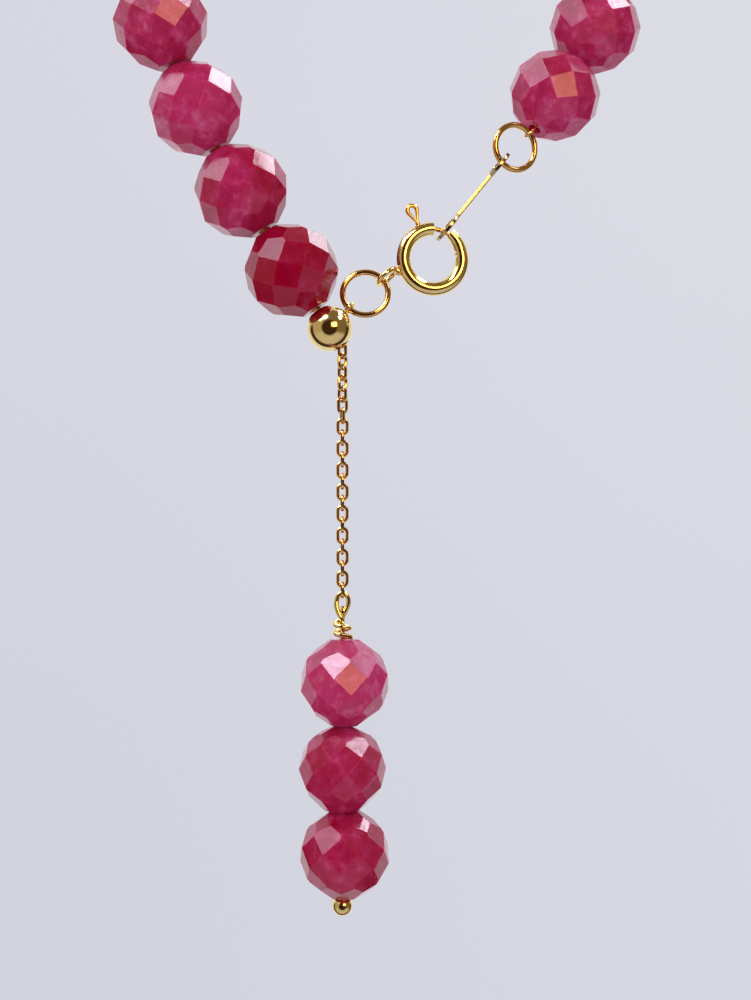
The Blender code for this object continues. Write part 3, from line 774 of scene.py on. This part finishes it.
bolt = wire("latch", arc(CLASP_RADIUS, *BOLT_SPAN, 60), BOLT_WIRE, red_gold)
turn_out = Matrix.Rotation(TAB_CLOCK, 4, "Y")
stem = wire("stem", [(0, 0, CLASP_RADIUS), (0, 0, TAB_INNER + TAB_WIRE / 2)], TAB_WIRE, red_gold, turn_out)
head = arc(TAB_HALF_WIDTH, -100, 100, 20, TAB_OUTER - TAB_WIRE - TAB_HALF_WIDTH)
eye = wire("eye", [Vector((0, 0, TAB_INNER)), *head], TAB_WIRE, red_gold, turn_out, closed=True)
latch = join(bolt, [stem, eye])
latch.data.transform(clasp_place)
fasten(latch, "latch", ["clasp_latch"])

loop_place = upright(middle_of("clasp_loop"), axes_of("clasp_loop")[2])
loop = wire("clasp_eye", arc(CLASP_LOOP_RADIUS, 0, 360, 48)[:-1], CLASP_LOOP_WIRE, yellow_gold, loop_place, closed=True)
solder = globe("solder", SOLDER_RADIUS, yellow_gold)
side = (clasp_place.inverted() @ middle_of("clasp_loop")).normalized()
solder.data.transform(clasp_place @ Matrix.Translation(side * (CLASP_RADIUS + CLASP_TUBE)))
fasten(join(loop, [solder]), "bracelet", ["clasp_loop"])


# The connector plate. A thin strip with a round eye at each end, stamped from sheet, hangs edge on
# between the clasp's bolt and the second jump ring.
PLATE_THICKNESS = 0.32 * MM
PLATE_EYE_OUTER = 1.5 * MM
PLATE_EYE_HOLE = 0.9 * MM
PLATE_BAR_HALF = 0.75 * MM
PLATE_EASE = 0.03 * MM
PLATE_ROLL = math.radians(8)

length, width, _ = axes_of("connector_plate")
corners = np.array([corner.co for corner in frame["nodes"]["connector_plate"].data.vertices])
reach = corners @ np.array(length)
eye_spacing = reach.max() - reach.min() - 2 * PLATE_EYE_OUTER
flare = math.degrees(math.asin(PLATE_BAR_HALF / PLATE_EYE_OUTER))
outline = arc(PLATE_EYE_OUTER, flare - 180, 180 - flare, 48, eye_spacing / 2)
outline += arc(PLATE_EYE_OUTER, flare, 360 - flare, 48, -eye_spacing / 2)
plate = slab("plate", outline, PLATE_THICKNESS)
holes = []
for height in (-eye_spacing / 2, eye_spacing / 2):
    hole = put("hole", turned([(0, -1 * MM), (PLATE_EYE_HOLE, -1 * MM), (PLATE_EYE_HOLE, 1 * MM), (0, 1 * MM)], 48))
    hole.data.transform(Matrix.Translation((0, 0, height)) @ Matrix.Rotation(math.pi / 2, 4, "X"))
    holes.append(hole)
cut(plate, holes)
plate.data.materials.append(dull_shaded_gold)
edges = plate.modifiers.new("eased edges", "BEVEL")
edges.width = PLATE_EASE
edges.segments = 3
edges.angle_limit = math.radians(60)
roll = Matrix.Rotation(PLATE_ROLL, 4, "Z")
settle(plate, frame_at(middle_of("connector_plate"), width, length) @ roll)
fasten(smooth(plate), "bracelet", ["connector_plate"])


# The end link. A small oblong link of fine wire joins the strand inside the last bead to the
# second jump ring.
END_LINK_HALF_WIDTH = 0.43 * MM
END_LINK_WIRE = 0.12 * MM

length, width, _ = axes_of("strand_end_link")
corners = np.array([corner.co for corner in frame["nodes"]["strand_end_link"].data.vertices])
reach = corners @ np.array(length)
straight = reach.max() - reach.min() - 2 * END_LINK_WIRE - 2 * END_LINK_HALF_WIDTH
path = arc(END_LINK_HALF_WIDTH, -90, 90, 16, straight / 2) + arc(END_LINK_HALF_WIDTH, 90, 270, 16, -straight / 2)
place = frame_at(middle_of("strand_end_link"), width, length)
link = wire("end_link", path, END_LINK_WIRE, red_gold, place, closed=True)
fasten(link, "bracelet", ["strand_end_link"])


# The tail chain. Twenty-four oblong links of fine wire, each bent from a cut length, closed and
# pressed, hang at right angles to each other. The first is held in the slider's sleeve and the next
# few are still twisted. The last carries the head pin.
LINK_LENGTH = 1.565 * MM
LINK_WIDTH = 1.1 * MM
LINK_WIRE = 0.15 * MM
LINK_CORNER = 0.34 * MM
LINK_PITCH = 0.945 * MM
LINK_TWIST = math.radians(45)
LINK_TWISTED = 6
LINK_UNTWIST = 3


def chain_of_links():
    """A chain's tree: a link on each of a row of points, a quarter turn from the last one."""
    sizes = {"Links": "Int", "First": "Int", "Twist": "Float", "Pitch": "Float", "Length": "Float", "Width": "Float"}
    sizes |= {"Radius": "Float", "Corner": "Float", "Finish": "Material"}
    start = begin_shape("chain of links", sizes)
    radius = start.also("Radius")
    bend = {"Width": start.also("Width") - 2 * radius, "Height": start.also("Length") - 2 * radius}
    bend = start.node("GeometryNodeCurvePrimitiveQuadrilateral", values=bend)
    corners = {"Curve": bend, "Count": 3, "Radius": start.also("Corner"), "Limit Radius": True}
    bend = start.node("GeometryNodeFilletCurve", {"mode": "POLY"}, corners)
    section = start.node("GeometryNodeCurvePrimitiveCircle", values={"Resolution": 10, "Radius": radius})
    link = start.node("GeometryNodeCurveToMesh", values={"Curve": bend, "Profile Curve": section})
    link = start.node("GeometryNodeTransform", values={"Geometry": link, "Rotation": (math.pi / 2, 0, 0)})
    index = start.node("GeometryNodeInputIndex")
    number = index + start.also("First")
    held = 1 - start.maths("MAXIMUM", (number - LINK_TWISTED) / LINK_UNTWIST, 0)
    turn = start.also("Twist") * start.maths("MAXIMUM", held, 0) + (number + 1) % 2 * (math.pi / 2)
    row = start.node("ShaderNodeCombineXYZ", values={"Z": 0 - index * start.also("Pitch")})
    row = start.node("GeometryNodePoints", values={"Count": start.also("Links"), "Position": row})
    turn = start.node("ShaderNodeCombineXYZ", values={"Z": turn})
    placed = start.node("GeometryNodeInstanceOnPoints", values={"Points": row, "Instance": link, "Rotation": turn})
    end_shape(placed, start.also("Finish"))
    return start.tree


chain_tree = chain_of_links()


def chain(name, first, last, twist, place, body):
    sizes = {"Links": last - first + 1, "First": first, "Twist": twist, "Pitch": LINK_PITCH, "Length": LINK_LENGTH}
    sizes |= {"Width": LINK_WIDTH, "Radius": LINK_WIRE, "Corner": LINK_CORNER, "Finish": red_gold}
    item = settle(shaped(put(name, bpy.data.meshes.new(name)), chain_tree, sizes), place)
    fasten(smooth(item), body, [f"chain_link_{number:02d}" for number in range(first, last + 1)])


length, width, _ = axes_of("chain_link_01")
chain("held_link", 1, 1, 0.0, frame_at(middle_of("chain_link_01"), width, length), "bracelet")
chain("second_link", 2, 2, LINK_TWIST, frame_at(middle_of("chain_link_02"), right, up), "second_link")
chain("tail_chain", 3, 24, LINK_TWIST, frame_at(middle_of("chain_link_03"), right, up), "tail")


# The head pin. A soft wire with a ball melted on its end runs up through the three drop beads. It
# is bent by hand into an eye on the last link, wrapped round its own stem and snipped off.
PIN_WIRE = 0.225 * MM
PIN_WRAP_TOP = -2.62
PIN_WRAP_SPAN = (150, 650)
PIN_WRAP_STEP = 20
PIN_WRAP_PITCH = 0.745
PIN_WRAP_RADIUS = 0.68
PIN_CUT_END = 0.95
PIN_BALL_RADIUS = 0.9 * MM

# The eye's bends from the top of its wire, in millimetres to the right, away and up
PIN_EYE = (
    (0.0, -0.02, -3.2),
    (0.0, -0.03, -2.75),
    (-0.06, -0.2, -2.25),
    (-0.36, -0.18, -1.65),
    (-0.52, -0.08, -1.05),
    (-0.44, 0.0, -0.42),
    (-0.22, 0.0, -0.08),
    (0.1, 0.0, 0.0),
    (0.4, 0.0, -0.25),
    (0.53, 0.07, -0.7),
    (0.45, 0.14, -1.2),
    (0.2, 0.27, -1.75),
    (-0.1, 0.35, -2.2),
)


def curve_through(points, steps):
    """A smooth line through points, as a Catmull-Rom spline."""
    points = [Vector(point) for point in points]
    line = []
    for before, here, there, after in zip([points[0], *points], points, points[1:], [*points[2:], points[-1]]):
        for step in range(steps):
            t = step / steps
            bend = 2 * here + (there - before) * t
            bend += (2 * before - 5 * here + 4 * there - after) * t ** 2
            bend += (3 * here - before - 3 * there + after) * t ** 3
            line.append(bend / 2)
    return [*line, points[-1]]


pin_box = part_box("head_pin")
bends = [Vector((0, 0, (pin_box[0][2] - pin_box[1][2] + PIN_WIRE + PIN_BALL_RADIUS) / MM)), *map(Vector, PIN_EYE)]
for angle in range(*PIN_WRAP_SPAN, PIN_WRAP_STEP):
    height = PIN_WRAP_TOP - PIN_WRAP_PITCH * (angle - PIN_WRAP_SPAN[0]) / 360
    side = math.radians(angle)
    bends.append(Vector((PIN_WRAP_RADIUS * math.cos(side), PIN_WRAP_RADIUS * math.sin(side), height)))
bends.append(bends[-1] + (bends[-1] - bends[-2]).normalized() * PIN_CUT_END)
last_link = middle_of("chain_link_24")
pin_place = frame_at((last_link.x, last_link.y, pin_box[1][2] - PIN_WIRE), right, up)
path = [point * MM for point in curve_through(bends, 6)]
pin = wire("pin", path, PIN_WIRE, yellow_gold, pin_place)
end = globe("end", PIN_BALL_RADIUS, yellow_gold)
end.data.transform(pin_place @ Matrix.Translation(bends[0] * MM))
fasten(join(pin, [end]), "drop", ["head_pin"])
